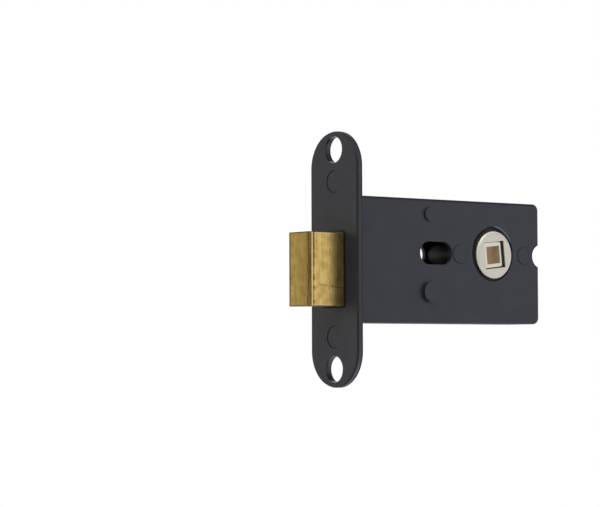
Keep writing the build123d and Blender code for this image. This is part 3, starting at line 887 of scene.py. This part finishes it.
def brightSteel():
    look = rolledSteel
    material, tree, shader, place = newMaterial("brightRolledSteel")
    spacing, length = look["line"] * mm, look["lineLength"] * mm
    along = addNode(tree, "ShaderNodeMapping", {0: place, 3: (1 / length, 1 / spacing, 1 / spacing)})
    lines = addNode(
        tree, "ShaderNodeTexNoise", {"Vector": along.outputs[0], "Scale": 1.0, "Detail": 3.0}
    ).outputs["Fac"]
    tone = addNode(
        tree,
        "ShaderNodeMix",
        {0: lines, 6: linear(look["dim"]), 7: linear(look["pale"])},
        data_type="RGBA",
    )
    polish = addNode(
        tree, "ShaderNodeMapRange", {0: lines, 1: noiseLow, 2: noiseHigh, 3: look["smooth"], 4: look["rough"]}
    )
    tree.links.new(tone.outputs[2], shader.inputs["Base Color"])
    tree.links.new(polish.outputs[0], shader.inputs["Roughness"])
    shader.inputs["Metallic"].default_value = 1.0
    return material


# tempered spring steel: blue-grey strip with straw patches
springStrip = {"blue": "4a4f5c", "straw": "6b6250", "patch": 3.0, "rough": 0.33}


def temperedSteel():
    look = springStrip
    material, tree, shader, place = newMaterial("temperedSpringSteel")
    patch = addNode(
        tree, "ShaderNodeTexNoise", {"Vector": place, "Scale": 1 / (look["patch"] * mm), "Detail": 2.0}
    )
    tone = addNode(
        tree,
        "ShaderNodeMix",
        {0: patch.outputs["Fac"], 6: linear(look["blue"]), 7: linear(look["straw"])},
        data_type="RGBA",
    )
    tree.links.new(tone.outputs[2], shader.inputs["Base Color"])
    shader.inputs["Roughness"].default_value = look["rough"]
    shader.inputs["Metallic"].default_value = 1.0
    return material


# moulded black nylon: dull black with a fine mould texture
mouldedNylon = {
    "dark": "0d0d0d",
    "light": "181818",
    "texture": 0.35,
    "textureDepth": 0.02,
    "textureBump": 0.3,
    "smooth": 0.5,
    "rough": 0.65,
}


def blackNylon():
    look = mouldedNylon
    material, tree, shader, place = newMaterial("blackNylon")
    texture = addNode(
        tree, "ShaderNodeTexNoise", {"Vector": place, "Scale": 1 / (look["texture"] * mm), "Detail": 2.0}
    ).outputs["Fac"]
    tone = addNode(
        tree,
        "ShaderNodeMix",
        {0: texture, 6: linear(look["dark"]), 7: linear(look["light"])},
        data_type="RGBA",
    )
    polish = addNode(
        tree,
        "ShaderNodeMapRange",
        {0: texture, 1: noiseLow, 2: noiseHigh, 3: look["smooth"], 4: look["rough"]},
    )
    skin = addNode(
        tree,
        "ShaderNodeBump",
        {"Strength": look["textureBump"], "Distance": look["textureDepth"] * mm, "Height": texture},
    )
    tree.links.new(tone.outputs[2], shader.inputs["Base Color"])
    tree.links.new(polish.outputs[0], shader.inputs["Roughness"])
    tree.links.new(skin.outputs[0], shader.inputs["Normal"])
    return material


finishes = {
    "black_paint": satinBlackPaint(),
    "brass": brushedBrass(),
    "plain_steel": brightSteel(),
    "nickel": dullNickel(),
    "bush_metal": brownedSleeve(),
    "nylon": blackNylon(),
    "spring_steel": temperedSteel(),
}
for part in frame["record"]["subparts"]:
    mesh = nodes[part["node"]].data
    mesh.materials.clear()
    mesh.materials.append(finishes[part["material_slot"]])
print("finishes on", len(nodes), "nodes")


# a row of equal fasteners: where the first one sits, the step to the next and how they are turned
def fastenerRow():
    tree = bpy.data.node_groups.new("fastenerRow", "GeometryNodeTree")
    face = tree.interface
    face.new_socket("Geometry", in_out="INPUT", socket_type="NodeSocketGeometry")
    face.new_socket("Count", in_out="INPUT", socket_type="NodeSocketInt")
    face.new_socket("First", in_out="INPUT", socket_type="NodeSocketVector")
    face.new_socket("Step", in_out="INPUT", socket_type="NodeSocketVector")
    face.new_socket("Turn", in_out="INPUT", socket_type="NodeSocketRotation")
    face.new_socket("Finish", in_out="INPUT", socket_type="NodeSocketMaterial")
    face.new_socket("Geometry", in_out="OUTPUT", socket_type="NodeSocketGeometry")
    given = addNode(tree, "NodeGroupInput").outputs
    places = addNode(
        tree,
        "GeometryNodeMeshLine",
        {"Count": given["Count"], "Start Location": given["First"], "Offset": given["Step"]},
        mode="OFFSET",
    )
    spread = addNode(
        tree,
        "GeometryNodeInstanceOnPoints",
        {"Points": places.outputs[0], "Instance": given["Geometry"], "Rotation": given["Turn"]},
    )
    solid = addNode(tree, "GeometryNodeRealizeInstances", {"Geometry": spread.outputs[0]})
    painted = addNode(
        tree, "GeometryNodeSetMaterial", {"Geometry": solid.outputs[0], "Material": given["Finish"]}
    )
    addNode(tree, "NodeGroupOutput", {"Geometry": painted.outputs[0]})
    return tree


# points closer than this, in mm, become one, and faces that meet below the angle become one face
weld = {"pin": 0.0001, "copy": 0.0005, "flatBelow": 1}


# a turned pin along X from pairs of depth and radius in mm, with sharp shoulders
def turnedPin(name, profile, segments):
    shape = bmesh.new()
    points = [shape.verts.new((depth * mm, 0.0, radius * mm)) for depth, radius in profile]
    edges = [shape.edges.new(pair) for pair in zip(points, points[1:])]
    bmesh.ops.spin(shape, geom=points + edges, cent=(0, 0, 0), axis=(1, 0, 0), angle=2 * pi, steps=segments)
    bmesh.ops.remove_doubles(shape, verts=shape.verts, dist=weld["pin"] * mm)
    bmesh.ops.recalc_face_normals(shape, faces=shape.faces)
    mesh = bpy.data.meshes.new(name)
    shape.to_mesh(mesh)
    shape.free()
    pin = bpy.data.objects.new(name, mesh)
    scene.collection.objects.link(pin)
    return pin


# what the modifiers make becomes the plain mesh of the piece
def bake(piece):
    bpy.context.view_layer.update()
    plain = bpy.data.meshes.new_from_object(piece.evaluated_get(bpy.context.evaluated_depsgraph_get()))
    piece.modifiers.clear()
    old = piece.data
    piece.data = plain
    bpy.data.meshes.remove(old)


# smooth shading, with every edge sharper than the angle kept sharp
def soften(mesh, angle):
    shape = bmesh.new()
    shape.from_mesh(mesh)
    for facet in shape.faces:
        facet.smooth = True
    for edge in shape.edges:
        edge.smooth = edge.is_manifold and edge.calc_face_angle() < radians(angle)
    shape.to_mesh(mesh)
    shape.free()


# edges broken so that they catch the light
def breakEdges(piece, width, angle):
    ease = piece.modifiers.new("edges", "BEVEL")
    ease.width = width * mm
    ease.segments = 2
    ease.limit_method = "ANGLE"
    ease.angle_limit = radians(angle)


rowTree = fastenerRow()


def setOut(piece, row, finish):
    modifier = piece.modifiers.new("row", "NODES")
    modifier.node_group = rowTree
    sockets = {item.name: item.identifier for item in rowTree.interface.items_tree if item.in_out == "INPUT"}
    modifier[sockets["Count"]] = row["count"]
    modifier[sockets["First"]] = [value * mm for value in row["first"]]
    modifier[sockets["Step"]] = [value * mm for value in row["step"]]
    modifier[sockets["Turn"]] = [radians(value) for value in row["turn"]]
    modifier[sockets["Finish"]] = finish
    bake(piece)


# forend rivets: countersunk flush in front with a fine groove round them, domed behind the ears
forendRivet = {
    "profile": [
        (0.15, 0.0), (0.15, 3.13), (0.22, 3.22), (2.0, 3.22), (2.0, 1.98), (3.2, 1.98),
        (3.2, 3.25), (3.42, 3.22), (3.72, 2.85), (3.98, 2.1), (4.14, 1.15), (4.2, 0.0),
    ],
    "segments": 56,
    "smoothBelow": 32,  # degrees
    "count": 2,
    "first": (0.0, 0.0, 22.5),
    "step": (0.0, 0.0, -45.0),
    "turn": (0.0, 0.0, 0.0),
}
rivets = turnedPin("forendRivets", forendRivet["profile"], forendRivet["segments"])
soften(rivets.data, forendRivet["smoothBelow"])
setOut(rivets, forendRivet, finishes["black_paint"])
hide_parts("forend_rivets")
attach(rivets, "case")

# tail rivets: plain pins peened over flush with both sides of the bolt
tailRivet = {
    "profile": [
        (0.0, 0.0), (0.0, 1.2), (0.1, 1.42), (0.25, 1.48),
        (9.55, 1.48), (9.7, 1.42), (9.8, 1.2), (9.8, 0.0),
    ],
    "segments": 40,
    "smoothBelow": 50,
    "count": 2,
    "first": (5.8, -4.9, -9.1),
    "step": (4.6, 0.0, 0.0),
    "turn": (0.0, 0.0, 90.0),
}
pins = turnedPin("tailRivets", tailRivet["profile"], tailRivet["segments"])
soften(pins.data, tailRivet["smoothBelow"])
setOut(pins, tailRivet, finishes["plain_steel"])
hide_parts("tail_rivets")
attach(pins, "bolt")

# cap screws: countersunk heads with a cut slot and broken edges
capScrew = {
    "profile": [(0.0, 0.0), (0.0, 2.2), (0.1, 2.28), (1.1, 1.19), (6.7, 1.19), (7.0, 0.9), (7.0, 0.0)],
    "segments": 48,
    "slot": (1.1, 5.0, 0.6),  # cut depth counted from both sides of the face, length and width in mm
    "slotTurn": 39.0,
    "edge": 0.05,
    "edgeAbove": 50,  # degrees
    "smoothBelow": 32,
    "count": 2,
    "first": (31.3, 6.25, 13.9),
    "step": (0.0, 0.0, -23.0),
    "turn": (0.0, 0.0, -90.0),
}
screws = turnedPin("capScrews", capScrew["profile"], capScrew["segments"])
cutter = bmesh.new()
bmesh.ops.create_cube(cutter, size=mm)
bmesh.ops.scale(cutter, vec=capScrew["slot"], verts=cutter.verts)
slotTurn = Matrix.Rotation(radians(capScrew["slotTurn"]), 3, "X")
bmesh.ops.rotate(cutter, cent=(0, 0, 0), matrix=slotTurn, verts=cutter.verts)
cutterMesh = bpy.data.meshes.new("slotCutter")
cutter.to_mesh(cutterMesh)
cutter.free()
cutterObject = bpy.data.objects.new("slotCutter", cutterMesh)
scene.collection.objects.link(cutterObject)
cut = screws.modifiers.new("slot", "BOOLEAN")
cut.operation = "DIFFERENCE"
cut.solver = "EXACT"
cut.object = cutterObject
breakEdges(screws, capScrew["edge"], capScrew["edgeAbove"])
bake(screws)
bpy.data.objects.remove(cutterObject)
soften(screws.data, capScrew["smoothBelow"])
setOut(screws, capScrew, finishes["black_paint"])
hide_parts("cap_screws")
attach(screws, "case")
print("rivets and screws set out")


# follower pieces with their edges broken: a copy of the CAD solid, merged and bevelled
def easedCopy(node, ease):
    shape = bmesh.new()
    shape.from_mesh(nodes[node].data)
    bmesh.ops.remove_doubles(shape, verts=shape.verts, dist=weld["copy"] * mm)
    flat = radians(weld["flatBelow"])
    bmesh.ops.dissolve_limit(shape, angle_limit=flat, verts=shape.verts, edges=shape.edges)
    mesh = bpy.data.meshes.new(ease["name"])
    shape.to_mesh(mesh)
    shape.free()
    piece = bpy.data.objects.new(ease["name"], mesh)
    scene.collection.objects.link(piece)
    breakEdges(piece, ease["width"], ease["edgeAbove"])
    bake(piece)
    soften(piece.data, ease["smoothBelow"])
    return piece


easedEdges = {
    "spindle_bush": {
        "name": "spindleSleeve",
        "width": 0.12,
        "edgeAbove": 40,
        "smoothBelow": 32,
        "slot": "bush_metal",
    },
    "follower_hub": {
        "name": "followerDrum",
        "width": 0.06,
        "edgeAbove": 40,
        "smoothBelow": 32,
        "slot": "nickel",
    },
}
for node, ease in easedEdges.items():
    piece = easedCopy(node, ease)
    piece.data.materials.clear()
    piece.data.materials.append(finishes[ease["slot"]])
    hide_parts(node)
    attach(piece, "follower")
print("follower pieces eased")
